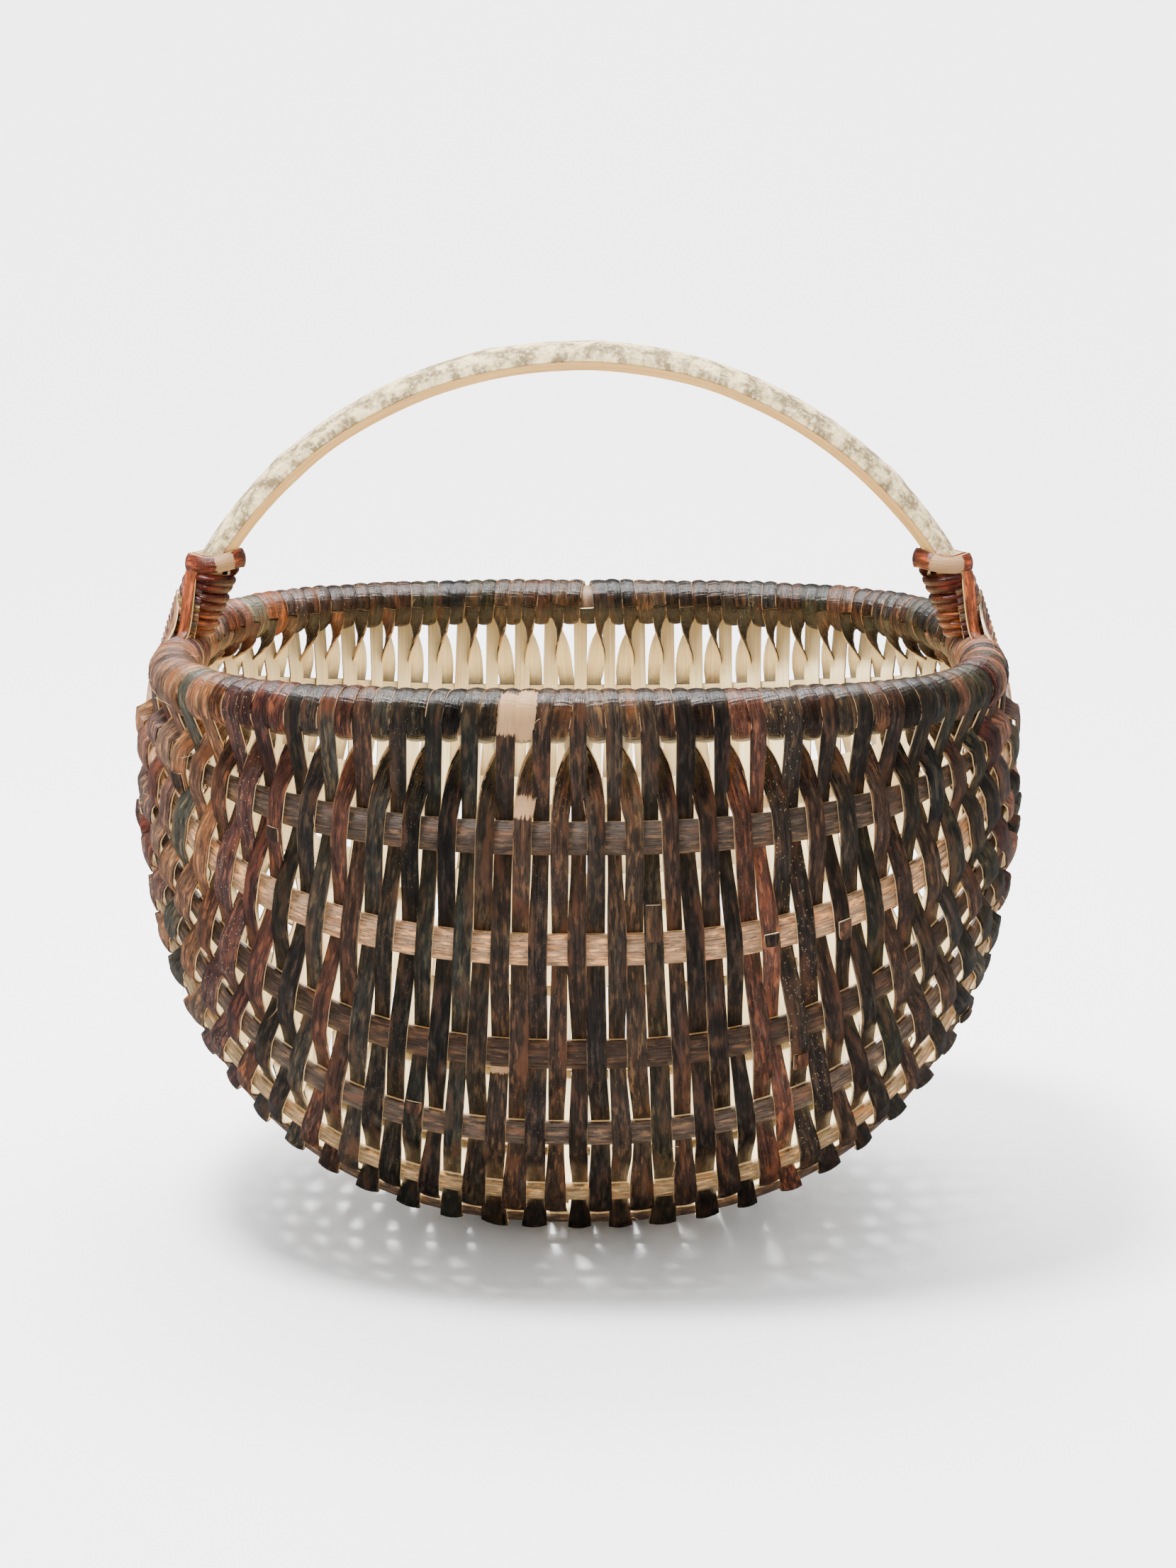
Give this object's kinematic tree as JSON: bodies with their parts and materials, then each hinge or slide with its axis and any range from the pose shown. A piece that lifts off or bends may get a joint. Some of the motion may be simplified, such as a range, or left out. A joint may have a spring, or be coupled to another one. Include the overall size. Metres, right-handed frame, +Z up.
{
  "type": "fruit basket",
  "caption": "Round-bellied frame basket with a fixed split-wood handle, woven from bark-faced split willow strands over ribs that meet at lashed eyes.",
  "frame": {"origin": "on the floor under the middle of the basket, where its round bottom rests", "axes": "+Z up, +X from the left eye to the right eye along the basket's length, +Y from the front of the rim to its back"},
  "size_m": [0.4324, 0.3554, 0.44],
  "materials": {
    "bark_strand_dark": "dark willow bark with a satin sheen, pale split wood on the inner face",
    "bark_strand_red": "red-brown willow bark with a satin sheen, pale split wood on the inner face",
    "rib_wood": "matt grey-brown bark outside, pale split wood inside",
    "handle_wood": "matt pale mottled bark on the crown, smooth honey-coloured wood underneath",
    "binding_bark": "glossy dark red willow skein",
    "lashing": "satin brown and mauve willow skein",
    "peeled_rod": "matt peeled rod"
  },
  "bodies": {
    "root": {"rim_hoop": "peeled_rod", "handle_bow": "handle_wood", "rib_front_1": "rib_wood", "rib_front_2": "rib_wood", "rib_front_3": "rib_wood", "rib_front_4": "rib_wood", "rib_front_5": "rib_wood", "rib_front_6": "rib_wood", "rib_spine": "rib_wood", "rib_back_1": "rib_wood", "rib_back_2": "rib_wood", "rib_back_3": "rib_wood", "rib_back_4": "rib_wood", "rib_back_5": "rib_wood", "rib_back_6": "rib_wood", "eye_lashing_left": "lashing", "eye_lashing_right": "lashing", "handle_binding_left": "binding_bark", "handle_binding_right": "binding_bark", "handle_band_left": "binding_bark", "handle_band_right": "binding_bark", "handle_strap_left": "binding_bark", "handle_strap_right": "binding_bark", "strand_left_01": "bark_strand_red", "strand_left_02": "bark_strand_red", "strand_left_03": "bark_strand_red", "strand_left_04": "bark_strand_red", "strand_left_05": "bark_strand_red", "strand_left_06": "bark_strand_red", "strand_left_07": "bark_strand_red", "strand_left_08": "bark_strand_red", "strand_left_09": "bark_strand_red", "strand_left_10": "bark_strand_red", "strand_left_11": "bark_strand_red", "strand_left_12": "bark_strand_red", "strand_left_13": "bark_strand_red", "strand_left_14": "bark_strand_red", "strand_left_15": "bark_strand_red", "strand_left_16": "bark_strand_red", "strand_left_17": "bark_strand_red", "strand_right_01": "bark_strand_dark", "strand_right_02": "bark_strand_dark", "strand_right_03": "bark_strand_dark", "strand_right_04": "bark_strand_dark", "strand_right_05": "bark_strand_dark", "strand_right_06": "bark_strand_dark", "strand_right_07": "bark_strand_dark", "strand_right_08": "bark_strand_dark", "strand_right_09": "bark_strand_dark", "strand_right_10": "bark_strand_dark", "strand_right_11": "bark_strand_dark", "strand_right_12": "bark_strand_dark", "strand_right_13": "bark_strand_dark", "strand_right_14": "bark_strand_dark", "strand_right_15": "bark_strand_dark", "strand_right_16": "bark_strand_dark", "strand_right_17": "bark_strand_dark", "strand_middle": "bark_strand_dark"}
  },
  "joints": []
}
